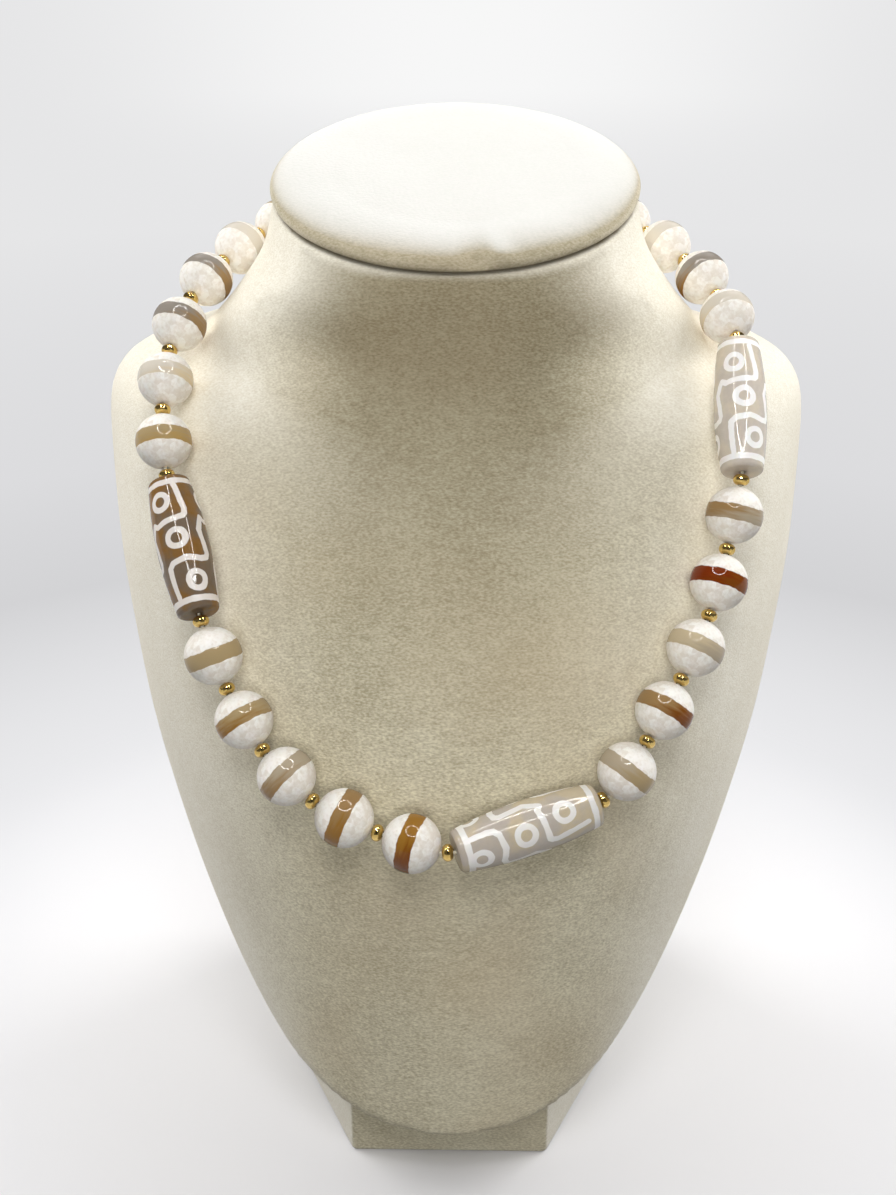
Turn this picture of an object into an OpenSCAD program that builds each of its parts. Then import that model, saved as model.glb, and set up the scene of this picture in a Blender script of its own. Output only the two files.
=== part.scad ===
// Dzi bead necklace, fastened round a velvet neck display bust that stands on a foot.
// Millimetres, X to the right, Y to the back, Z up. The origin is on the floor under the middle
// of the whole thing.

/* [Beads] */
// Diameter of a round bead
bead_d = 14; // [13.6:0.1:14.1]
// Length of a tube bead
tube_l = 35.5; // [34:0.5:36]
// Diameter of a tube bead at its middle
tube_d = 13; // [12:0.5:13.5]
// Diameter of a tube bead at its ends
tube_end_d = 10; // [9:0.5:11]
// Radius of the worn edge round a tube bead's end
tube_edge_r = 1; // [0.5:0.1:1.5]
// Diameter of the hole drilled through every bead
bore_d = 1.8; // [1.4:0.1:2]

/* [Gold spacers and clasp] */
// Outer diameter of a spacer
spacer_d = 4.1; // [3.8:0.1:4.6]
// Length of a spacer along the thread
spacer_l = 2.7; // [2.5:0.1:2.8]
// Diameter of a spacer's hole
spacer_bore_d = 1.6; // [1.4:0.1:1.8]
// Diameter of the barrel clasp
clasp_d = 5; // [4.5:0.1:6]

/* [Thread] */
// Diameter of the thread
thread_d = 0.8; // [0.6:0.1:1]
// Play left between two neighbours on the thread
play = 0.25; // [0.2:0.05:0.3]
// Play left on both sides of a spacer beside a tube bead and at the clasp, where flat ends meet
end_play = 0.5; // [0.45:0.05:0.55]

/* [Bust] */
// Half width of the neck's top
neck_half_w = 47.2; // [46:0.1:48]
// How far the crown of the cap stands above its rim
cap_crown = 1.5; // [1:0.5:3]
// Radius of the cap's rounded rim
cap_rim_r = 2.5; // [2:0.5:3]
// Forward slope of the neck's top in degrees
neck_slope = 21; // [18:1:24]

/* [Foot] */
// Half width of the foot's front face
foot_front_half_w = 26.5; // [24:0.5:28]
// Half width of the foot behind its flare
foot_half_w = 45; // [42:0.5:46]
// Room left round the foot in its socket
foot_room = 0.3; // [0.2:0.1:0.4]

/* [Hidden] */
// The middle of the neck's top, above the floor and behind the origin
neck_y = 26;
neck_z = 245;
// Half depth of the neck's top, measured down its slope
neck_half_depth = 41.5;

// The string from one end of the clasp round to the other: r is a round bead, t a tube bead
string_order = "rrrrrrrrtrrrrrtrrrrrtrrrrrrr";
item_count = len(string_order);
tube_names = ["tube_bead_left", "tube_bead_front", "tube_bead_right"];
round_count = item_count - len(tube_names);

function bead_name(n) = str("round_bead_", n < 10 ? "0" : "", n);

// How far beads, threads and faces are kept past a surface that they cut
cut = 1;
smooth = 72;

// Levels of the bust from its neck to its tip. Each is a closed outline in a plane that leans
// forward by lean degrees: the ridge is its widest line, at height z and place ridge_y, and
// front and back are how far the outline reaches before and behind it. edge is 2 where the
// front meets the ridge as round as an ellipse, and less where it is sharper. flat is 2 where
// the back is an ellipse, and more where it is flatter.
//   z    lean        half_w       ridge_y front back edge flat
bust_levels = [
    [neck_z, neck_slope, neck_half_w, neck_y, neck_half_depth, neck_half_depth, 2, 2],
    [232, 10, 49.5, 21, 37, 48.5, 2, 2],
    [222, 5, 56, 17, 35, 49.5, 2, 2],
    [215, 3, 62, 20, 39, 48.5, 2, 2],
    [210, 2, 67.3, 26, 45.5, 43.5, 2, 2.2],
    [206, 3, 76, 35, 55.5, 39.5, 1.8, 2.6],
    [202, 2, 86.5, 37, 59.5, 40.5, 1.68, 2.8],
    [197, 1, 93.4, 37, 62, 40, 1.64, 3],
    [188, 0, 97.1, 36.5, 67, 39, 1.78, 3],
    [170, 0, 96, 31.5, 74, 40, 1.92, 3],
    [150, 0, 94, 25, 79, 40, 1.9, 3],
    [130, 0, 90, 15, 77.5, 41, 1.8, 3],
    [110, 0, 85, 3.5, 71, 42, 1.7, 3],
    [90, 0, 77.6, -10, 60, 42, 1.6, 3],
    [70, 0, 68.7, -24, 46.5, 39, 1.5, 3],
    [50, 0, 57, -40, 31, 32, 1.4, 3],
    [33, 0, 44, -54, 17, 20, 1.3, 3],
    [23.5, 0, 31.5, -63, 8, 10, 1.3, 3],
    [18, 0, 19, -68, 3, 4, 1.3, 3],
    [15.8, 0, 6, -70, 1, 1, 1.3, 3],
];
rings_per_level = 3;
points_per_ring = 72;

// The middle line of the string, closed, from the back of the neck round by the left side of
// the chest and back up the right. Each row is a place in millimetres.
string_route = [
    [-10.3, 76.6, 235],
    [-27.5, 70.8, 235],
    [-40.5, 60, 233],
    [-51.5, 48, 231],
    [-60, 33.5, 226.5],
    [-67, 19, 221],
    [-72, 5, 210.5],
    [-73, -7, 199.5],
    [-72, -18, 187.5],
    [-69.5, -24, 178],
    [-65, -34, 166],
    [-60, -46, 154],
    [-57, -49, 145],
    [-49, -57, 132],
    [-39, -65, 122],
    [-25, -71, 114],
    [-9, -75, 111],
    [1, -78, 110],
    [18, -73, 114],
    [34, -67, 116],
    [42, -64, 123],
    [51, -55, 135],
    [59, -46, 147],
    [65, -37, 160],
    [69, -27, 174],
    [71, -23, 184],
    [72, -11.5, 197],
    [72, 1, 210],
    [70.2, 10.5, 214.5],
    [66.5, 25, 222],
    [56, 40.2, 228],
    [48.2, 52.7, 232],
    [36.5, 63.5, 234],
    [22, 72, 235],
    [5.5, 76, 235],
];

// Smooth curve through rows of numbers: the value a share t past row i
function curve(rows, i, t) =
    let (n = len(rows), a = rows[(i + n - 1) % n], b = rows[i % n],
         c = rows[(i + 1) % n], d = rows[(i + 2) % n])
    b + 0.5 * t * ((c - a) + t * ((2 * a - 5 * b + 4 * c - d) + t * (3 * (b - c) + d - a)));

// The string's line, drawn finely
route_steps = 12;
route_line = [for (i = [0:len(string_route) - 1]) for (k = [0:route_steps - 1])
    curve(string_route, i, k / route_steps)];
line_count = len(route_line);
function line_point(i) = route_line[i % line_count];

// The place on the line, past stretch i, at a straight distance d from p: [stretch, place]
function reach(i, p, d) =
    norm(line_point(i + 1) - p) < d ? reach(i + 1, p, d)
    : let (a = line_point(i), u = line_point(i + 1) - a, w = a - p, h = u * w,
           s = (-h + sqrt(h * h - (u * u) * (w * w - d * d))) / (u * u))
      [i, a + s * u];

// Every piece on the thread in order, a spacer before each bead and after the last one
pieces = [for (k = [0:2 * item_count]) k % 2 == 0 ? "s" : string_order[(k - 1) / 2]];
piece_count = len(pieces);
function piece_l(kind) = kind == "r" ? bead_d : kind == "t" ? tube_l : spacer_l;
function beside_tube(k) = pieces[k - 1] == "t" || pieces[k] == "t" || pieces[k + 1] == "t";
function gap_after(k) = beside_tube(k) || beside_tube(k + 1) ? end_play : play;

// The clasp lies across the middle of the neck's back, and the first piece starts just past it
half_clasp = 4;
start = reach(0, line_point(0), half_clasp + play);

// The two ends of every piece: [stretch, first end, second end]
function walk(k, at) =
    k == piece_count ? []
    : let (far = reach(at[0], at[1], piece_l(pieces[k])), next = reach(far[0], far[1], gap_after(k)))
      concat([[at[0], at[1], far[1]]], walk(k + 1, next));
places = walk(0, start);

// The clasp closes the loop: it is as long as the gap from the last spacer to the first
clasp_ends = [places[piece_count - 1][2], places[0][1]];

// Numbers of the round beads and of the tube beads among the pieces
round_at = [for (k = [0:piece_count - 1]) if (pieces[k] == "r") k];
tube_at = [for (k = [0:piece_count - 1]) if (pieces[k] == "t") k];
spacer_at = [for (k = [0:piece_count - 1]) if (pieces[k] == "s") k];

// Turns a shape that lies along Z to lie between two points, with its middle halfway
module between(a, b) {
    v = b - a;
    translate((a + b) / 2)
        rotate([0, acos(v[2] / norm(v)), atan2(v[1], v[0])])
            children();
}

module on_string(k) {
    between(places[k][1], places[k][2]) children();
}

module bore(d, l) {
    cylinder(d = d, h = l + 2 * cut, center = true, $fn = smooth);
}

module round_bead() {
    color("#e9e3d8")
        difference() {
            sphere(d = bead_d, $fn = smooth);
            bore(bore_d, bead_d);
        }
}

// Half outline of a tube bead: a shallow arc along its side, and worn edges round its ends
module tube_outline() {
    swell = (tube_d - tube_end_d) / 2;
    side_r = (tube_l * tube_l / 4 + swell * swell) / (2 * swell);
    edge_z = tube_l / 2 - tube_edge_r;
    edge_x = tube_d / 2 - side_r + sqrt(side_r * side_r - edge_z * edge_z) - tube_edge_r;
    intersection() {
        translate([tube_d / 2 - side_r, 0]) circle(r = side_r, $fn = 720);
        union() {
            translate([0, -edge_z]) square([tube_d, 2 * edge_z]);
            translate([0, -tube_l / 2]) square([edge_x, tube_l]);
            for (side = [-1, 1])
                translate([edge_x, side * edge_z]) circle(r = tube_edge_r, $fn = smooth);
        }
    }
}

module tube_bead() {
    color("#b9aa97")
        difference() {
            rotate_extrude($fn = smooth) tube_outline();
            bore(bore_d, tube_l);
        }
}

// A spacer's rim is rounded in narrow straight bands, which keep its volume when it is meshed
rim_bands = 24;
module spacer() {
    rim_r = spacer_l / 2;
    rotate_extrude($fn = smooth)
        intersection() {
            translate([spacer_d / 2 - rim_r, 0])
                polygon([for (k = [0:rim_bands - 1])
                    let (a = 360 * k / rim_bands) rim_r * [cos(a), sin(a)]]);
            translate([spacer_bore_d / 2, -rim_r]) square([spacer_d, spacer_l]);
        }
}

module spacer_beads() {
    color("#d8ab35")
        for (k = spacer_at) on_string(k) spacer();
}

// A plain barrel with a blind hole in each end for the thread
clasp_body_l = norm(clasp_ends[1] - clasp_ends[0]) - 2 * end_play;
clasp_hole = clasp_body_l / 3;
module clasp() {
    edge = clasp_d / 4;
    color("#d8ab35")
        between(clasp_ends[0], clasp_ends[1])
            difference() {
                rotate_extrude($fn = smooth)
                    union() {
                        translate([0, -clasp_body_l / 2]) square([clasp_d / 2 - edge, clasp_body_l]);
                        translate([0, edge - clasp_body_l / 2])
                            square([clasp_d / 2, clasp_body_l - 2 * edge]);
                        for (side = [-1, 1])
                            translate([clasp_d / 2 - edge, side * (clasp_body_l / 2 - edge)])
                                circle(r = edge, $fn = smooth);
                    }
                for (side = [-1, 1])
                    translate([0, 0, side * (clasp_body_l + cut - clasp_hole) / 2])
                        cylinder(d = spacer_bore_d, h = clasp_hole + cut, center = true, $fn = smooth);
            }
}

// A closed skin over rings of points, with a flat lid at each end
module skin(rings) {
    n = len(rings[0]);
    m = len(rings);
    polyhedron(
        points = [for (ring = rings) each ring],
        faces = concat(
            [[for (j = [0:n - 1]) j]],
            [for (i = [0:m - 2]) for (j = [0:n - 1])
                let (a = i * n + j, b = i * n + (j + 1) % n) each [[a, a + n, b], [b, a + n, b + n]]],
            [[for (j = [n - 1:-1:0]) (m - 1) * n + j]]
        ));
}

// The thread runs straight through each piece and bends in the play between them. Its two ends
// stop short of the bottom of the clasp's holes.
thread_sides = 8;
clasp_dir = (clasp_ends[1] - clasp_ends[0]) / norm(clasp_ends[1] - clasp_ends[0]);
thread_line = concat(
    [clasp_ends[1] - clasp_dir * clasp_hole],
    [for (place = places) each [place[1], place[2]]],
    [clasp_ends[0] + clasp_dir * clasp_hole]);

function unit(v) = v / norm(v);
function thread_ring(i) =
    let (n = len(thread_line),
         ahead = unit(thread_line[min(i + 1, n - 1)] - thread_line[max(i - 1, 0)]),
         side = unit(cross(ahead, abs(ahead[2]) > 0.9 ? [0, 1, 0] : [0, 0, 1])),
         up = cross(side, ahead))
    [for (j = [0:thread_sides - 1]) let (a = 360 * j / thread_sides)
        thread_line[i] + thread_d / 2 * (cos(a) * side + sin(a) * up)];

module thread() {
    color("#efe6cf") skin([for (i = [0:len(thread_line) - 1]) thread_ring(i)]);
}

// One ring of the bust, from a level's row of numbers
function signed_pow(v, p) = sign(v) * pow(abs(v), p);
function ring_point(level, a) =
    let (lean = level[1], front = sin(a) < 0,
         across = level[2] * (front ? cos(a) : signed_pow(cos(a), 2 / level[7])),
         along = front ? -level[4] * pow(abs(sin(a)), 2 / level[6]) : level[5] * abs(sin(a)))
    [across, level[3] + along * cos(lean), level[0] + along * sin(lean)];
function ring(level) =
    [for (j = [0:points_per_ring - 1]) ring_point(level, 360 * j / points_per_ring)];

// Levels between the rows of the table, on a smooth curve that stops at its two ends
function level_between(i, t) =
    let (n = len(bust_levels), a = bust_levels[max(i - 1, 0)], b = bust_levels[i],
         c = bust_levels[min(i + 1, n - 1)], d = bust_levels[min(i + 2, n - 1)])
    b + 0.5 * t * ((c - a) + t * ((2 * a - 5 * b + 4 * c - d) + t * (3 * (b - c) + d - a)));
bust_rings = concat(
    [for (i = [0:len(bust_levels) - 2]) for (k = [0:rings_per_level - 1])
        ring(level_between(i, k / rings_per_level))],
    [ring(bust_levels[len(bust_levels) - 1])]);

module bust_form() {
    color("#e6dfca")
        difference() {
            skin(bust_rings);
            foot_block(foot_room);
        }
}

// The padded cap lies on the neck's sloping top, a soft disc with a round rim
cap_gap = 0.3;
module neck_cap() {
    stretch = neck_half_depth / neck_half_w;
    rim_x = neck_half_w - cap_rim_r;
    cap_h = 2 * cap_rim_r + cap_crown;
    dome_r = (rim_x * rim_x + cap_crown * cap_crown) / (2 * cap_crown);
    color("#ece6d3")
        translate([0, neck_y, neck_z])
            rotate([neck_slope, 0, 0])
                translate([0, 0, cap_gap])
                    scale([1, stretch, 1])
                        rotate_extrude($fn = smooth)
                            union() {
                                square([rim_x, 2 * cap_rim_r]);
                                translate([rim_x, cap_rim_r]) circle(r = cap_rim_r, $fn = 24);
                                intersection() {
                                    translate([0, cap_h - dome_r]) circle(r = dome_r, $fn = 360);
                                    square([rim_x, cap_h]);
                                }
                            }
}

// The foot seen from above, and its side: it widens behind its front face, and its sloping
// top is let into the underside of the bust
foot_front_y = -60;
foot_flare_y = -22;
foot_back_y = 42;
foot_top = [[-60, 34], [-34, 50], [-8, 68], [14, 88], [30, 108], [42, 124]];
module foot_block(room) {
    front_w = foot_front_half_w + room;
    w = foot_half_w + room;
    intersection() {
        translate([0, 0, -cut])
            linear_extrude(300)
                polygon([[-front_w, foot_front_y - room], [front_w, foot_front_y - room],
                         [w, foot_flare_y], [w, foot_back_y + room],
                         [-w, foot_back_y + room], [-w, foot_flare_y]]);
        rotate([90, 0, 90])
            translate([0, 0, -2 * w])
                linear_extrude(4 * w)
                    polygon(concat([[foot_back_y + cut, 0], [foot_front_y - cut, 0],
                                    [foot_front_y - cut, foot_top[0][1] + room]],
                                   [for (p = foot_top) p + [0, room]],
                                   [[foot_back_y + cut, foot_top[5][1] + room]]));
    }
}

module foot() {
    color("#d9d0b8") foot_block(0);
}

for (n = [0:round_count - 1])
    on_string(round_at[n]) round_bead();
for (n = [0:len(tube_at) - 1])
    on_string(tube_at[n]) tube_bead();
spacer_beads();
clasp();
thread();
bust_form();
neck_cap();
foot();
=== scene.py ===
# %% [markdown]
# A dzi bead necklace on a velvet bust
#
# Dzi are agate beads with etched white patterns. This necklace has round ones, white but for one
# polished band, and three long ones with eyes and stepped lines. Small gold spacers part them, and
# the string is shown on a cream velvet bust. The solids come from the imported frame, so each bead is
# already in its place. This lesson gives them their finishes, covers the bust with velvet and
# lights the whole like a product photograph.
# %% Load the frame
import math
import bmesh
import bpy
from mathutils import Matrix, Vector, noise


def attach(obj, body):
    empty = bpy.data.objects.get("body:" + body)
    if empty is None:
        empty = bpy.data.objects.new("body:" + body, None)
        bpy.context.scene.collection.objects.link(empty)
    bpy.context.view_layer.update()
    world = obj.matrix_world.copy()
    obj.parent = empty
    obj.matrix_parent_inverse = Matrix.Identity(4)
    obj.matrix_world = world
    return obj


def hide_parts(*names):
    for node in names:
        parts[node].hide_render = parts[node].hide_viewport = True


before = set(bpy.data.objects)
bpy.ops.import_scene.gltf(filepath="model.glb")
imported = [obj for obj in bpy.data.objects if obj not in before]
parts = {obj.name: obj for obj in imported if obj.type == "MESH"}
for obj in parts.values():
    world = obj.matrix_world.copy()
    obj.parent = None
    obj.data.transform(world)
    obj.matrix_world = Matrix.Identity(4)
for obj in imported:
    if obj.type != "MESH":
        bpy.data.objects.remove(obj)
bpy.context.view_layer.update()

MM = 0.001
scene = bpy.context.scene

# %% [markdown]
# Small helpers
#
# Colours are picked as sRGB hex, as on a paint card, and Blender's shaders work in linear light,
# so one function turns the first into the second. Another adds one node. Its values go to the
# node's open inputs in order, or to inputs by name, and a value that comes out of another node is
# linked. What comes back is the node's first open output, or the one that is asked for.
# %% Colours and nodes
def linear(hex_colour):
    channels = [int(hex_colour[i:i + 2], 16) / 255 for i in (1, 3, 5)]
    return [c / 12.92 if c <= 0.04045 else ((c + 0.055) / 1.055) ** 2.4 for c in channels] + [1.0]


def add(tree, kind, *values, named=None, get=None, **settings):
    """Add a node. The kind is Blender's name without ShaderNode, and its operation may follow."""
    kind, _, operation = kind.partition(" ")
    node = tree.nodes.new("ShaderNode" + kind)
    if operation:
        node.operation = operation
    for name, value in settings.items():
        setattr(node, name, value)
    open_inputs = [socket for socket in node.inputs if socket.enabled]
    by_name = [(node.inputs[name], value) for name, value in (named or {}).items()]
    for socket, value in [*zip(open_inputs, values), *by_name]:
        if isinstance(value, bpy.types.NodeSocket):
            tree.links.new(value, socket)
        else:
            socket.default_value = value
    if get:
        return node.outputs[get]
    return next((socket for socket in node.outputs if socket.enabled), None)


def new_material(name):
    material = bpy.data.materials.new(name)
    material.use_nodes = True
    material.node_tree.nodes.clear()
    return material, material.node_tree


print("cream in linear light", [round(c, 3) for c in linear("#e8e1d0")])

# %% [markdown]
# The camera
#
# The photograph looks down on the bust by 24 degrees, nearly square on. A pinhole of 1400 pixels
# over a picture 1195 pixels high is a 42 mm lens on a 36 mm sensor. Nothing is shifted.
# %% Camera
view_turn, view_tilt = math.radians(1), math.radians(24)
camera_place = Vector((4.7, -349.6, 295.5)) * MM
ahead = Vector((-math.sin(view_turn) * math.cos(view_tilt),
                math.cos(view_turn) * math.cos(view_tilt), -math.sin(view_tilt)))
camera = bpy.data.objects.new("photo_camera", bpy.data.cameras.new("photo_camera"))
scene.collection.objects.link(camera)
camera.location = camera_place
camera.rotation_euler = ahead.to_track_quat("-Z", "Y").to_euler()
camera.data.lens = 1400 / 1195 * 36
camera.data.clip_start = 0.01
scene.camera = camera
print("lens", round(camera.data.lens, 1), "mm")

# %% [markdown]
# Where each bead points
#
# A pattern drawn on a bead needs the bead's own axes: Z along its hole, Y towards the front and X
# across. The hole's two mouths are the only sharp edges of a bead, so the middle of each mouth
# gives the axis, read from the higher end down. The frame's solids stay as they are.
# %% Axes of the beads
round_names = sorted(n for n in parts if n.startswith("round_bead"))
tube_names = ["tube_bead_left", "tube_bead_front", "tube_bead_right"]


def hole_mouths(name):
    shape = bmesh.new()
    shape.from_mesh(parts[name].data)
    bmesh.ops.remove_doubles(shape, verts=shape.verts, dist=1e-6)
    rim = {v for e in shape.edges if len(e.link_faces) == 2 and e.calc_face_angle() > 1.0
           for v in e.verts}
    points = [v.co.copy() for v in rim]
    shape.free()
    first = points[0]
    near = [p for p in points if (p - first).length < 3 * MM]
    far = [p for p in points if (p - first).length >= 3 * MM]
    return [sum(group, Vector()) / len(group) for group in (near, far)]


def bead_axes(name):
    low, high = sorted(hole_mouths(name), key=lambda p: p.z)
    along = (low - high).normalized()
    middle = (low + high) / 2
    front = camera_place - middle
    front = (front - along * front.dot(along)).normalized()
    across = front.cross(along)
    return middle, Matrix((across, front, along)).transposed(), (low - high).length


axes = {name: bead_axes(name) for name in round_names + tube_names}
print(len(axes), "beads, the long ones", [round(axes[n][2] / MM, 1) for n in tube_names], "mm")

# %% [markdown]
# Own coordinates of a bead, in millimetres
#
# A Mapping node of the Texture kind undoes a move, a turn and a scale. Fed with the bead's place,
# axes and 0.001, it turns the frame's metres into millimetres from the bead's middle.
# %% Bead coordinates
def bead_coordinates(tree, name):
    middle, turn, _ = axes[name]
    here = add(tree, "TexCoord", get="Object")
    return add(tree, "Mapping", named={"Vector": here, "Location": middle, "Rotation": turn.to_euler(),
                                       "Scale": (MM, MM, MM)}, vector_type="TEXTURE")


print("bead 1 is in the middle at", [round(v / MM, 1) for v in axes["round_bead_01"][0]], "mm")

# %% [markdown]
# Round dzi beads
#
# The real bead is an agate ball. Its two caps are etched to a dry white, crackled crust, and a
# band about 4 mm wide round the middle keeps the polished, see-through stone. The crust scatters
# light (roughness 0.56), lets a little of it in (subsurface) and is mottled in facets of about
# 2 mm. The band is quartz (IOR 1.54) with a wet gloss (roughness 0.06). Band colours go from grey
# to red-brown, and each band is painted darker towards its lower side as the camera sees it,
# partly the stone's own tones and partly painted shade.
# %% Band colours
# Tones that banded agate is sold in, from milky to red-brown
agate_tones = {
    "milky": "#d8cfc0", "cream": "#dcc7a0", "oatmeal": "#c5b494", "mushroom": "#b3a48c",
    "ash": "#948b80", "sand": "#ae9870", "honey": "#ba985a", "tea": "#9c7c50",
    "amber": "#986c28", "rust": "#7c440c", "red_brown": "#7c3008",
}
# Two tones of each band, its upper side first, in the order of the string; the lower tone is
# partly painted shade as well as the stone's own colour
band_tones = [
    ("mushroom", "tea"), ("ash", "ash"), ("oatmeal", "sand"), ("milky", "milky"), ("ash", "tea"),
    ("ash", "tea"), ("milky", "cream"), ("sand", "honey"), ("sand", "sand"), ("sand", "amber"),
    ("mushroom", "tea"), ("tea", "amber"), ("amber", "rust"), ("mushroom", "sand"), ("tea", "rust"),
    ("oatmeal", "mushroom"), ("red_brown", "rust"), ("tea", "mushroom"), ("milky", "cream"),
    ("ash", "amber"), ("milky", "milky"), ("ash", "tea"), ("oatmeal", "tea"), ("ash", "rust"),
    ("oatmeal", "mushroom"),
]
print(len(band_tones), "bands in", len(agate_tones), "tones")

# %% [markdown]
# Crust and band in one material
#
# The etching stops at two circles, which a second piece or a painted texture could show as well. A
# distance from the bead's middle plane needs neither and stays sharp however near the camera is.
# It blends stone and crust, each with its own colour, gloss and relief.
# %% Round bead material
# Settings of a node that blends two colours, and of one that eases from 0 to 1 between two values
colours = {"data_type": "RGBA"}
smooth = {"interpolation_type": "SMOOTHSTEP"}
# In millimetres: half the band's width, its soft edge, the facets of the crust and their height,
# and the bead
band_half_width = 1.9
band_edge = 0.12
facet_size = 1.9
facet_height = 0.12
bead_size = 14
# Downwards as the camera sees it, a little towards the right, the way painted shade falls on the bands
down_in_view = Vector((0.25, -0.41, -0.91)).normalized()


def dress(name, material):
    part = parts[name]
    part.data.materials.clear()
    part.data.materials.append(material)


def round_dzi(name, upper, lower):
    material, tree = new_material("etched_agate_" + name)
    place = bead_coordinates(tree, name)
    along = add(tree, "SeparateXYZ", place, get="Z")
    # The edge of the etched crust wanders by about 0.3 mm
    waver = add(tree, "Math MULTIPLY_ADD", add(tree, "TexNoise", place, 1 / 3.5, 2.0), 1.1, -0.55)
    height = add(tree, "Math ABSOLUTE", add(tree, "Math ADD", along, waver))
    crust = add(tree, "MapRange", height, band_half_width - band_edge, band_half_width + band_edge,
                **smooth)

    facets = add(tree, "TexVoronoi", place, 1 / facet_size).node
    facet_tone = add(tree, "SeparateColor", facets.outputs["Color"])
    grit = add(tree, "TexNoise", place, 1 / 0.9, 4.0)
    mottle = add(tree, "Math MULTIPLY_ADD", grit, 0.9, add(tree, "Math MULTIPLY", facet_tone, 0.35))
    greyer = add(tree, "MapRange", mottle, 0.4, 0.85, **smooth)
    white = add(tree, "Mix", greyer, linear("#fcf8f1"), linear("#e9e1d5"), **colours)

    # The stone is painted darker towards its lower side as the camera sees it, partly its own tones
    # and partly painted shade, with clouds and faint layers along the band
    down = axes[name][1].transposed() @ down_in_view
    painted_lower_shade = add(tree, "VectorMath DOT_PRODUCT", place, down / bead_size)
    layered = add(tree, "Mapping", named={"Vector": place, "Scale": (0.18, 0.18, 1.4)})
    layers = add(tree, "Math MULTIPLY", add(tree, "TexNoise", layered, 1.0, 3.0), 0.9)
    depth = add(tree, "Math MULTIPLY_ADD", painted_lower_shade, 1.5, layers)
    shade_and_layers = add(tree, "MapRange", depth, 0.1, 0.75, **smooth)
    stone = add(tree, "Mix", shade_and_layers, linear(upper), linear(lower), **colours)

    relief = add(tree, "Math MULTIPLY_ADD", facets.outputs["Distance"], 0.5, 0.6)
    relief = add(tree, "Math MULTIPLY_ADD", mottle, 0.25, relief)
    relief = add(tree, "Math MULTIPLY", relief, crust)
    bump = add(tree, "Bump", named={"Height": relief, "Strength": 0.55, "Distance": facet_height * MM})
    looks = {
        "Base Color": add(tree, "Mix", crust, stone, white, **colours),
        "Roughness": add(tree, "Math MULTIPLY_ADD", crust, 0.5, 0.06),
        "Normal": bump, "IOR": 1.54, "Specular IOR Level": 0.25,
        "Subsurface Weight": add(tree, "Math MULTIPLY", crust, 0.2),
        "Subsurface Radius": (1.0, 0.8, 0.6), "Subsurface Scale": 1.0 * MM,
    }
    add(tree, "OutputMaterial", add(tree, "BsdfPrincipled", named=looks))
    return material


for name, (upper, lower) in zip(round_names, band_tones):
    dress(name, round_dzi(name, agate_tones[upper], agate_tones[lower]))
print(len(round_names), "round beads dressed")

# %% [markdown]
# Long dzi beads
#
# Each long bead has nine eyes: three slanting rows of three, with one stepped line between each
# row and the next, and a ring round each end. The lines are etched white, about 1.5 mm wide, in
# the same polished agate. Unrolled, the pattern is flat, so it is drawn with plain distances: how
# far a spot is from each stretch of line and from each eye's circle. It repeats three times round.
# %% The stepped line and the eyes
# One stepped line, from the ring at one end to the ring at the other: degrees round the bead from
# its front, and millimetres along it
stepped_line = [
    (9, 1.9), (15, 5.5), (21, 9.2), (19, 10.4), (14, 11.0), (0, 11.2), (-30, 11.5), (-50, 12.0),
    (-62, 11.2), (-66, 12.0), (-76, 14.5), (-71, 17.6), (-68, 20.2), (-72, 21.2), (-87, 21.5),
    (-117, 20.8), (-150, 21.4), (-161, 22.4), (-163, 24.0), (-162, 26.5), (-159, 31.2),
]
# The eyes of one row: degrees, millimetres
eyes = [(-32, 6.5), (-9.8, 15.9), (14.7, 26.2)]
# In millimetres: where the two rings are, the eyes' radius, and how wide the lines are
ring_places = [2.1, 33.3]
eye_radius = 2.1
eye_line = 1.5
line_width = 1.5
# The pattern fills this many degrees and then repeats, drawn at the bead's middling radius
column = 120
pattern_radius = 6.2
degree_mm = pattern_radius * math.pi / 180


def flat_stretches(stretch, moved):
    points = [(a * degree_mm, b * stretch + moved) for a, b in stepped_line]
    half = column / 2 * degree_mm
    found = []
    for shift in (-1, 0, 1, 2):
        beside = [(a + shift * column * degree_mm, b) for a, b in points]
        for p, q in zip(beside, beside[1:]):
            if max(p[0], q[0]) > -half - 1 and min(p[0], q[0]) < half + 1:
                found.append((p, q))
    return found


print(len(flat_stretches(1, 0)), "stretches in one third of the bead")

# %% [markdown]
# Drawing the lines
#
# On the real bead the lines are drawn by hand with an etching paste, so they waver by up to a
# quarter of a millimetre and have soft edges. Nodes unroll the bead by its angle, take the
# distance to the nearest stretch, ring or eye, and turn what is near enough white.
# %% Pattern of a long bead
waver_size = 2.5
waver_reach = 0.5
line_softness = 0.09


def unroll(tree, place, turned, length):
    x, y, z = add(tree, "SeparateXYZ", place).node.outputs
    third = math.radians(column)
    angle = add(tree, "Math SUBTRACT", add(tree, "Math ARCTAN2", x, y), math.radians(turned))
    round_it = add(tree, "Math WRAP", angle, third / 2, -third / 2)
    flat = add(tree, "CombineXYZ", add(tree, "Math MULTIPLY", round_it, pattern_radius),
               add(tree, "Math ADD", z, length / 2))
    waver = add(tree, "TexNoise", place, 1 / waver_size, 2.0, get="Color")
    waver = add(tree, "VectorMath SUBTRACT", waver, (0.5, 0.5, 0.5))
    waver = add(tree, "VectorMath SCALE", waver, waver_reach)
    flat = add(tree, "VectorMath ADD", flat, waver)
    return add(tree, "VectorMath MULTIPLY", flat, (1, 1, 0))


def distance_to_stretch(tree, flat, p, q):
    run = Vector((q[0] - p[0], q[1] - p[1], 0))
    away = add(tree, "VectorMath SUBTRACT", flat, (*p, 0))
    share = add(tree, "VectorMath DOT_PRODUCT", away, run / run.length_squared)
    share = add(tree, "Math ADD", share, 0.0, use_clamp=True)
    return add(tree, "VectorMath DISTANCE", away, add(tree, "VectorMath SCALE", run, share))


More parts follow.
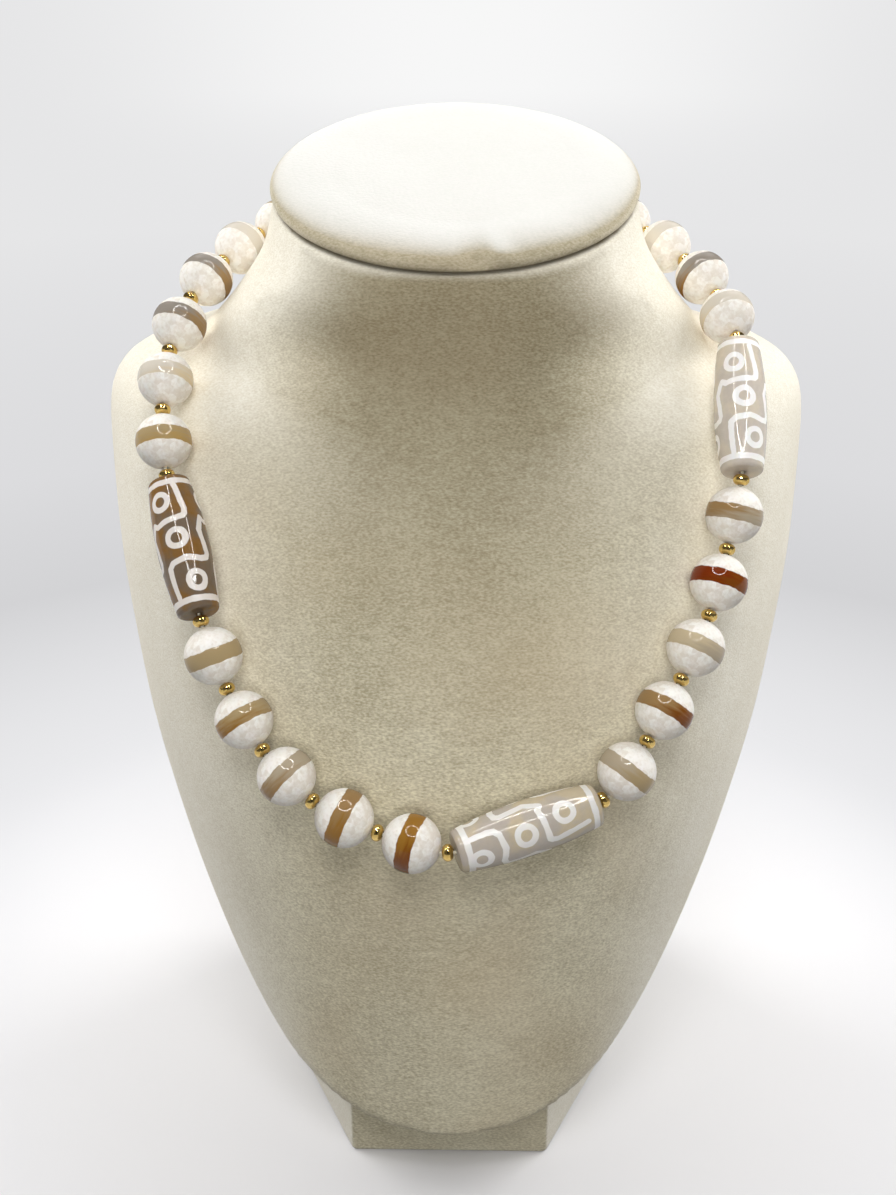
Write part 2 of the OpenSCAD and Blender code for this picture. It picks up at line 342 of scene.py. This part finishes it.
def etched_lines(tree, place, turned, stretch, moved, length):
    flat = unroll(tree, place, turned, length)
    nearest = None
    for p, q in flat_stretches(stretch, moved):
        distance = distance_to_stretch(tree, flat, p, q)
        nearest = distance if nearest is None else add(tree, "Math MINIMUM", nearest, distance)
    # The stepped lines stop at the two rings
    level = add(tree, "SeparateXYZ", flat, get="Y")
    for ring_at, side in zip(ring_places, (-1, 1)):
        past = add(tree, "Math MULTIPLY", add(tree, "Math SUBTRACT", level, ring_at), side)
        nearest = add(tree, "Math MAXIMUM", nearest, past)
    for ring_at in ring_places:
        distance = add(tree, "Math ABSOLUTE", add(tree, "Math SUBTRACT", level, ring_at))
        nearest = add(tree, "Math MINIMUM", nearest, distance)
    lines = add(tree, "Math SUBTRACT", nearest, line_width / 2)
    for turn, at in eyes:
        eye_middle = (turn * degree_mm, at * stretch + moved, 0)
        distance = add(tree, "VectorMath DISTANCE", flat, eye_middle)
        edge = add(tree, "Math ABSOLUTE", add(tree, "Math SUBTRACT", distance, eye_radius))
        lines = add(tree, "Math MINIMUM", lines, add(tree, "Math SUBTRACT", edge, eye_line / 2))
    return add(tree, "MapRange", lines, line_softness, -line_softness, **smooth)


print("lines", line_width, "mm wide, wavering by", waver_reach / 2, "mm")

# %% [markdown]
# The stone of the long beads
#
# The left one is smoky brown with amber glowing through, the other two are pale grey-beige. All
# three are polished, and the etched lines are a little duller than the stone.
# %% Long bead materials
# name, how far the pattern is turned in degrees, stretched and moved in millimetres, and the
# tones of the stone and its lines
long_beads = [
    ("tube_bead_left", 0, 1.1, 0.0, "#72604c", "#855d22", "#e6dfd8"),
    ("tube_bead_front", 25, 1.09, 2.3, "#c3b9ad", "#d0c1a4", "#eeebe6"),
    ("tube_bead_right", 20, 1.03, 1.4, "#d6ccc0", "#e0d4c0", "#fdfaf6"),
]


def long_dzi(name, turned, stretch, moved, clear, warm, line_tone):
    material, tree = new_material("etched_agate_" + name)
    place = bead_coordinates(tree, name)
    lines = etched_lines(tree, place, turned, stretch, moved, axes[name][2] / MM)
    # Clouds about 7 mm wide, and a fine cloudiness in them
    clouds = add(tree, "MapRange", add(tree, "TexNoise", place, 1 / 7.0, 3.0), 0.42, 0.62, **smooth)
    stone = add(tree, "Mix", clouds, linear(clear), linear(warm), **colours)
    fine = add(tree, "Math MULTIPLY", add(tree, "TexNoise", place, 1 / 1.2, 3.0), 0.25)
    stone = add(tree, "Mix", fine, stone, linear("#8a7f74"), **colours)
    bump = add(tree, "Bump", named={"Height": lines, "Strength": 0.3, "Distance": 0.05 * MM})
    looks = {
        "Base Color": add(tree, "Mix", lines, stone, linear(line_tone), **colours),
        "Roughness": add(tree, "Math MULTIPLY_ADD", lines, 0.22, 0.07),
        "Normal": bump, "IOR": 1.54, "Specular IOR Level": 0.3, "Subsurface Weight": 0.2,
        "Subsurface Radius": (1.0, 0.75, 0.5), "Subsurface Scale": 1.5 * MM,
    }
    add(tree, "OutputMaterial", add(tree, "BsdfPrincipled", named=looks))
    return material


for row in long_beads:
    dress(row[0], long_dzi(*row))
print(len(long_beads), "long beads dressed")

# %% [markdown]
# Gold and thread
#
# Spacers and clasp are gold-plated brass, tumbled to a bright polish: metallic 1, roughness 0.12,
# with a faint unevenness that breaks up the reflections. The thread is a twisted cream cord, which
# shows for a fraction of a millimetre between two neighbours.
# %% Gold plating and cord
def part_coordinates(tree):
    here = add(tree, "TexCoord", get="Object")
    return add(tree, "Mapping", named={"Vector": here, "Scale": (MM, MM, MM)}, vector_type="TEXTURE")


gold, tree = new_material("gold_plated_brass")
place = part_coordinates(tree)
worn = add(tree, "TexNoise", place, 1 / 1.5, 2.0)
dents = add(tree, "TexNoise", place, 1 / 1.1, 2.0)
looks = {
    "Metallic": 1.0,
    "Base Color": add(tree, "Mix", worn, linear("#d2ad5c"), linear("#e6cb84"), **colours),
    "Roughness": add(tree, "Math MULTIPLY_ADD", add(tree, "TexNoise", place, 1 / 0.8, 3.0), 0.12, 0.07),
    "Normal": add(tree, "Bump", named={"Height": dents, "Strength": 0.25, "Distance": 0.05 * MM}),
}
add(tree, "OutputMaterial", add(tree, "BsdfPrincipled", named=looks))
for name in ("spacer_beads", "clasp"):
    dress(name, gold)

cord, tree = new_material("twisted_nylon_cord")
twist = add(tree, "TexWave", part_coordinates(tree), 1.2, 1.5, get="Fac", bands_direction="DIAGONAL")
looks = {
    "Base Color": add(tree, "Mix", twist, linear("#cfc3a6"), linear("#f1ead8"), **colours),
    "Roughness": 0.7,
    "Normal": add(tree, "Bump", named={"Height": twist, "Strength": 0.6, "Distance": 0.1 * MM}),
}
add(tree, "OutputMaterial", add(tree, "BsdfPrincipled", named=looks))
dress("thread", cord)
print("gold and cord done")

# %% [markdown]
# Velvet
#
# The bust is covered with a cream short-nap velvet. Its pile is under a millimetre long and lies
# in brushed streaks, so the cloth shows a fine speckle, slightly longer than wide, and a soft glow
# where it is seen edge on. The glow is the shader's sheen. Where the cloth faces up or sideways,
# lighter and less yellow tones are painted in as painted light and painted sheen, mixed by the
# surface's own direction.
# %% Velvet material
# The middle of the neck's sloping top, its slope, and which way it faces
neck_top = Vector((0, 26, 245)) * MM
neck_slope = math.radians(21)
seam_normal = Vector((0, -math.sin(neck_slope), math.cos(neck_slope)))
# In millimetres: the nap's clumps and their depth, the brushed streaks and the wide patches
nap_size = 0.4
nap_depth = 0.12
streak_size = 1.8
patch_size = 30
warm_patch_size = 45


def cloth_tones(tree, place, speckle, streaks, dark_tones, painted_lit_tones):
    patches = add(tree, "TexNoise", place, 1 / patch_size, 2.0)
    tone = add(tree, "Math MULTIPLY_ADD", streaks, 0.25, add(tree, "Math MULTIPLY", patches, 0.35))
    tone = add(tree, "Math MULTIPLY_ADD", speckle, 0.9, tone)
    tone = add(tree, "MapRange", tone, 0.4, 1.1, **smooth)
    # The cloth's own tones, and the painted lit tones for where it faces up or sideways, each in speckles
    dark, light = [add(tree, "Mix", tone, linear(low), linear(high), **colours)
                   for low, high in (dark_tones, painted_lit_tones)]
    warm_patches = add(tree, "TexNoise", place, 1 / warm_patch_size, 1.0)
    warmth = add(tree, "MapRange", warm_patches, 0.4, 0.75, **smooth)
    warmth = add(tree, "Math MULTIPLY", warmth, 0.3)
    return add(tree, "Mix", warmth, dark, linear("#d2bd9b"), **colours), light


def velvet(name, dark_tones, painted_lit_tones, painted_shade_tone, painted_side_light=1.25, blend=(0.12, 0.8)):
    material, tree = new_material(name)
    place = part_coordinates(tree)
    brushed = add(tree, "Mapping", named={"Vector": place, "Rotation": (0.0, 0.35, 0.0),
                                          "Scale": (0.45, 0.8, 1.0)})
    speckle = add(tree, "TexNoise", brushed, 1 / nap_size, 2.0)
    streaks = add(tree, "TexNoise", brushed, 1 / streak_size, 3.0)
    dark, light = cloth_tones(tree, place, speckle, streaks, dark_tones, painted_lit_tones)

    # Painted light: lighter tones where the cloth faces sideways, slanting, or upwards by more than
    # 30 degrees
    facing = add(tree, "SeparateXYZ", add(tree, "NewGeometry", get="Normal")).node.outputs
    across = add(tree, "Math ABSOLUTE", facing["X"])
    sideways = add(tree, "Math POWER", across, 2.2)
    slanting = add(tree, "Math MULTIPLY", across, add(tree, "Math MAXIMUM", facing["Z"], 0.0))
    upwards = add(tree, "Math MAXIMUM", add(tree, "Math SUBTRACT", facing["Z"], 0.5), 0.0)
    painted_light_share = add(tree, "Math MULTIPLY", add(tree, "Math ADD", sideways, slanting), painted_side_light)
    painted_light_share = add(tree, "Math MULTIPLY_ADD", upwards, 2.0, painted_light_share)

    # Painted shade: higher up the front the cloth is painted darker, widest on the neck
    height = add(tree, "SeparateXYZ", place, get="Z")
    wider = add(tree, "Math MULTIPLY", add(tree, "MapRange", height, 205, 228, **smooth), 0.38)
    front = add(tree, "MapRange", add(tree, "Math SUBTRACT", across, wider), 0.5, 0.12, **smooth)
    upper = add(tree, "MapRange", height, 105, 215, **smooth)
    painted_neck_shade = add(tree, "Math MULTIPLY", add(tree, "Math MULTIPLY", front, 0.9), upper)
    dark = add(tree, "Mix", painted_neck_shade, dark, linear(painted_shade_tone), blend_type="MULTIPLY", **colours)
    # Painted light and painted sheen: the lit tones take over where the cloth faces up or sideways
    base = add(tree, "Mix", add(tree, "MapRange", painted_light_share, *blend, **smooth), dark, light, **colours)

    # Painted shade: where cap and neck meet, a thin dark line is painted along the seam
    above = add(tree, "VectorMath DOT_PRODUCT", place, seam_normal)
    from_seam = add(tree, "Math SUBTRACT", above, seam_normal.dot(neck_top) / MM)
    painted_seam_shade = add(tree, "MapRange", add(tree, "Math ABSOLUTE", from_seam), 1.1, 0.2, **smooth)
    base = add(tree, "Mix", painted_seam_shade, base, linear("#756a52"), **colours)
    bump = add(tree, "Bump", named={"Height": speckle, "Strength": 0.8, "Distance": nap_depth * MM})
    looks = {
        "Base Color": base, "Normal": bump, "Roughness": 0.95, "Specular IOR Level": 0.1,
        "Sheen Weight": 0.35, "Sheen Roughness": 0.4, "Sheen Tint": linear("#fff8ea"),
    }
    add(tree, "OutputMaterial", add(tree, "BsdfPrincipled", named=looks))
    return material


# Each velvet: its own tones, its painted lit tones, and the tone of the painted shade on the neck; the cap
# gets painted light from above only
cream_velvet = velvet("cream_short_nap_velvet", ("#b0a588", "#ece5cb"), ("#e6deca", "#fdf9ec"),
                      "#b0aba0")
cap_velvet = velvet("pale_cream_short_nap_velvet", ("#b3aa90", "#ded6c1"), ("#e6e6e0", "#eceae6"),
                    "#e6e2da", painted_side_light=0.0, blend=(0.22, 0.9))
print("velvet in clumps of", nap_size, "mm")

# %% [markdown]
# The bust
#
# Under the velvet is a smooth moulded form. The solid of the frame has the right shape with flat
# facets, so it is copied, turned into small even squares and smoothed, which also rounds the rim
# of the chest as cloth does when it is pulled over an edge.
# %% Bust
def keep_result(piece):
    result = bpy.data.meshes.new_from_object(piece.evaluated_get(bpy.context.evaluated_depsgraph_get()))
    piece.modifiers.clear()
    piece.data = result
    for polygon in result.polygons:
        polygon.use_smooth = True
    return len(result.polygons)


def copy_of_solid(name, piece_name):
    piece = bpy.data.objects.new(piece_name, parts[name].data.copy())
    scene.collection.objects.link(piece)
    return piece


def dress_piece(piece, material, *stands_for):
    piece.data.materials.clear()
    piece.data.materials.append(material)
    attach(piece, "root")
    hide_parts(*stands_for)


def ease_hollow(piece):
    """Padding under the cloth rounds out the hollow between neck and chest, away from the beads."""
    hollow = piece.vertex_groups.new(name="hollow")
    for vertex in piece.data.vertices:
        place = vertex.co
        height = math.exp(-((place.z - 0.2) / 0.024) ** 4)
        middle = math.exp(-(place.x / 0.046) ** 6) if place.y < 0 else 0.0
        hollow.add([vertex.index], height * middle, "REPLACE")
    ease = piece.modifiers.new("ease", "SMOOTH")
    ease.factor, ease.iterations, ease.vertex_group = 0.9, 260, hollow.name
    return keep_result(piece)


bust = copy_of_solid("bust_form", "velvet_bust")
squares = bust.modifiers.new("squares", "REMESH")
squares.mode, squares.voxel_size = "VOXEL", 1.5 * MM
soften = bust.modifiers.new("soften", "SMOOTH")
soften.factor, soften.iterations = 0.5, 6
keep_result(bust)
faces = ease_hollow(bust)
dress_piece(bust, cream_velvet, "bust_form")
print("bust", faces, "faces")

# %% [markdown]
# The padded cap
#
# A disc of foam under velvet closes the neck's sloping top. It has a soft round rim, a slight
# crown, and a small fold in its front rim where the cloth was tucked in. It is built in rings from
# its underside, round the rim, to the crown, and a few gentle waves keep it from looking turned.
# %% Cap
neck_half_width = 47.2 * MM
neck_half_depth = 41.5 * MM
overhang = 0.7 * MM
under_radius = 1.4 * MM
shoulder = 16 * MM
cap_height = 5.6 * MM
crown = 0.9 * MM
cap_gap = 0.2 * MM


def cap_outline():
    """How far out and how high each ring is: the underside, its rounded edge, shoulder and crown."""
    edge = neck_half_width + overhang
    turn = edge - under_radius
    rows = [(turn * k / 8, 0.0) for k in range(1, 8)]
    rows += [(turn + under_radius * math.sin(a), under_radius * (1 - math.cos(a)))
             for a in (math.pi / 2 * k / 6 for k in range(7))]
    rows += [(edge - shoulder * (1 - math.cos(a)), under_radius + (cap_height - under_radius) * math.sin(a))
             for a in (math.pi / 2 * k / 16 for k in range(1, 17))]
    inner = edge - shoulder
    rows += [(inner * (1 - k / 20), cap_height + crown * (1 - (1 - k / 20) ** 2)) for k in range(1, 20)]
    return rows


def cap_point(a, reach, lift):
    """A place on the cap at an angle, with gentle waves and, at the front, a tuck beside a ridge."""
    out = Vector((math.cos(a), math.sin(a) * neck_half_depth / neck_half_width, 0))
    wave = noise.noise(out * reach / MM / 16 + Vector((0, 0, lift / MM * 0.1))) * 0.5 * MM
    tuck = math.exp(-((a - math.radians(277)) / math.radians(4)) ** 2)
    ridge = math.exp(-((a - math.radians(284)) / math.radians(4)) ** 2)
    rim = min(1.0, reach / neck_half_width) ** 8 * min(1.0, lift / (2 * MM))
    inwards = rim * (1.7 * MM * tuck + max(0.0, wave))
    raised = lift + min(1.0, lift / MM) * wave * 0.5 + rim * (1.1 * ridge - 1.2 * tuck) * MM
    return out * (reach - inwards) + Vector((0, 0, raised))


def object_from(shape, name):
    mesh = bpy.data.meshes.new(name)
    shape.to_mesh(mesh)
    shape.free()
    made = bpy.data.objects.new(name, mesh)
    scene.collection.objects.link(made)
    return made


def cap_shape(around=180):
    shape = bmesh.new()
    to_place = (Matrix.Translation(neck_top) @ Matrix.Rotation(neck_slope, 4, "X")
                @ Matrix.Translation((0, 0, cap_gap)))
    rings = [[shape.verts.new(to_place @ cap_point(2 * math.pi * j / around, reach, lift))
              for j in range(around)] for reach, lift in cap_outline()]
    for lower, upper in zip(rings, rings[1:]):
        for j in range(around):
            k = (j + 1) % around
            shape.faces.new((lower[j], lower[k], upper[k], upper[j]))
    for ring, order in ((rings[0], -1), (rings[-1], 1)):
        middle = shape.verts.new(sum((v.co for v in ring), Vector()) / around)
        for j in range(around):
            k = (j + 1) % around
            shape.faces.new((ring[j], ring[k], middle)[::order])
    return shape


cap = object_from(cap_shape(), "velvet_cap")
for polygon in cap.data.polygons:
    polygon.use_smooth = True
dress_piece(cap, cap_velvet, "neck_cap")
print("cap", len(cap.data.polygons), "faces")

# %% [markdown]
# The foot
#
# The foot is a stiff block under the same velvet. Cloth over a sharp corner rounds it by about a
# millimetre, which a bevel does.
# %% Foot
foot = copy_of_solid("foot", "velvet_foot")
weld = foot.modifiers.new("weld", "WELD")
weld.merge_threshold = 1e-5
round_corners = foot.modifiers.new("round_corners", "BEVEL")
round_corners.width, round_corners.segments = 1.2 * MM, 4
round_corners.limit_method, round_corners.angle_limit = "ANGLE", math.radians(20)
faces = keep_result(foot)
dress_piece(foot, cream_velvet, "foot")
print("foot", faces, "faces")

# %% [markdown]
# Floor and light
#
# The photograph was taken on a white sheet under soft light from above, in front and both sides.
# The floor is a wide disc whose tone, painted light and shade of the sheet, depends on the
# distance from the bust, so every side has the same pale background. Near the bust it takes light
# and shadow, and farther off it glows in these painted tones.
# %% Floor
def stage_disc(name, radius, height, around=96):
    shape = bmesh.new()
    bmesh.ops.create_circle(shape, cap_ends=True, segments=around, radius=radius)
    disc = object_from(shape, name)
    disc.location = (0, 0, height)
    return disc


near_floor = stage_disc("near_floor", 0.45, -0.0002)
far_floor = stage_disc("far_floor", 40.0, -0.0006)
near_floor.visible_diffuse = far_floor.visible_diffuse = False
paper, tree = new_material("white_paper_floor")
here = add(tree, "TexCoord", get="Object")
away = add(tree, "VectorMath LENGTH", here)
# Painted light and shade of the paper at distances in metres
painted_paper_shading = [(0.18, "#eeeef0"), (0.26, "#e5e5e7"), (0.38, "#d3d3d5"), (0.57, "#dcdcde"), (1.5, "#e6e6e7")]
farthest = painted_paper_shading[-1][0]
ramp = add(tree, "ValToRGB", add(tree, "Math DIVIDE", away, farthest, use_clamp=True)).node
for (at, tone), element in zip(painted_paper_shading, [*ramp.color_ramp.elements, None, None, None]):
    element = element or ramp.color_ramp.elements.new(at / farthest)
    element.position, element.color = at / farthest, linear(tone)
# Far behind the bust the sheet rises into the light of the back box, here a painted glow
across, deep, _ = add(tree, "SeparateXYZ", here).node.outputs
deep = add(tree, "Math ADD", add(tree, "Math ABSOLUTE", deep), 0.1)
slant = add(tree, "Math DIVIDE", add(tree, "Math ABSOLUTE", across), deep)
painted_halo = add(tree, "Math MULTIPLY", add(tree, "MapRange", slant, 0.35, 0.02, **smooth),
           add(tree, "MapRange", away, 1.2, 4.0, **smooth))
sheet = add(tree, "Mix", painted_halo, ramp.outputs[0], linear("#f7f7f7"), **colours)
glow = add(tree, "Emission", sheet, 1.0)
lit = add(tree, "BsdfDiffuse", linear("#e5e4e5"))
mix = add(tree, "MixShader", add(tree, "MapRange", away, 0.1, 0.22, **smooth), lit, glow)
add(tree, "OutputMaterial", mix)
for disc in (near_floor, far_floor):
    disc.data.materials.append(paper)
print("paper in", len(painted_paper_shading), "tones")

# %% [markdown]
# The wall
#
# Seen from low down, the floor ends at the horizon. The same white paper stands there as a round
# wall, seen by the camera only, so that no view shows a dark strip above the floor.
# %% Wall
wall_distance = 16.5
wall_height = 40.0
wall_shape = bmesh.new()
bmesh.ops.create_cone(wall_shape, cap_ends=False, segments=96, radius1=wall_distance,
                      radius2=wall_distance, depth=wall_height,
                      matrix=Matrix.Translation((0, 0, wall_height / 2 - 0.5)))
wall = object_from(wall_shape, "far_wall")
wall.data.materials.append(paper)
wall.visible_diffuse = wall.visible_glossy = False
wall.visible_shadow = wall.visible_transmission = False
print("wall at", wall_distance, "m")

# %% [markdown]
# The lamps
#
# A box above, a wide one behind and one on each side wrap the bust in soft light, and two small
# ones in front lift the chest. Powers are in watts. The front and side boxes don't show in the
# polished stone and gold, so each bead keeps one clean highlight.
# %% Lamps
scene.view_settings.view_transform = "Standard"
scene.world = scene.world or bpy.data.worlds.new("studio")
scene.world.use_nodes = True
sky = scene.world.node_tree.nodes["Background"]
sky.inputs["Color"].default_value = linear("#e9e9ea")
sky.inputs["Strength"].default_value = 0.15


def soft_box(name, place, aim, size, power):
    lamp = bpy.data.objects.new(name, bpy.data.lights.new(name, "AREA"))
    lamp.data.shape = "RECTANGLE"
    lamp.data.size, lamp.data.size_y = size
    lamp.data.energy = power
    lamp.location = place
    lamp.rotation_euler = (Vector(aim) - Vector(place)).to_track_quat("-Z", "Y").to_euler()
    lamp.visible_camera = False
    scene.collection.objects.link(lamp)
    return lamp


soft_box("top_box", (0, -0.05, 0.95), (0, 0, 0.15), (0.8, 0.6), 0.6)
soft_box("back_box", (0, 0.55, 0.8), (0, 0, 0.2), (0.9, 0.5), 1.7)
diffuse_only = [
    soft_box("front_box", (0, -0.8, 0.35), (0, 0, 0.12), (0.4, 0.3), 1.95),
    soft_box("key_box", (0, -0.35, 0.6), (0, 0, 0.15), (0.25, 0.25), 1.3),
    soft_box("left_box", (-0.62, 0.3, 0.5), (0, 0, 0.15), (0.5, 0.5), 4.7),
    soft_box("right_box", (0.62, 0.3, 0.5), (0, 0, 0.15), (0.5, 0.5), 5.05),
]
for box in diffuse_only:
    box.visible_glossy = False

# %% [markdown]
# The ring lamp and the dark lens
#
# Polished stone and gold are mirrors, so what they look at matters: a thin glowing ring above and
# before the bust, whose circle shows on the polished bands, and the dark lens of the camera. Both
# are seen by reflections only.
# %% Ring lamp
def reflected_only(thing):
    thing.visible_camera = thing.visible_diffuse = thing.visible_shadow = False
    thing.visible_transmission = False


def plain_glow(name, tone, strength):
    material, tree = new_material(name)
    add(tree, "OutputMaterial", add(tree, "Emission", linear(tone), strength))
    return material


ring_radii = (0.205, 0.22)
ring_place = Vector((0.02, -0.14, 0.64))
ring_points = 96
ring_shape = bmesh.new()
angles = [2 * math.pi * k / ring_points for k in range(ring_points)]
inner_circle, outer_circle = [[ring_shape.verts.new((r * math.cos(a), r * math.sin(a), 0)) for a in angles]
                              for r in ring_radii]
for k in range(ring_points):
    n = (k + 1) % ring_points
    ring_shape.faces.new((inner_circle[k], outer_circle[k], outer_circle[n], inner_circle[n]))
ring_lamp = object_from(ring_shape, "ring_lamp")
ring_lamp.data.materials.append(plain_glow("ring_lamp_light", "#ffffff", 55.0))
lens = stage_disc("lens", 0.09, 0.0)
lens.data.materials.append(plain_glow("dark_lens", "#101010", 1.0))
aim = Vector((0, -0.05, 0.15))
for thing, place in ((ring_lamp, ring_place), (lens, camera_place - ahead * 0.02)):
    thing.location = place
    thing.rotation_euler = (aim - place).to_track_quat("-Z", "Y").to_euler()
    reflected_only(thing)
print("ring lamp", round(ring_place.z, 2), "m above the floor")
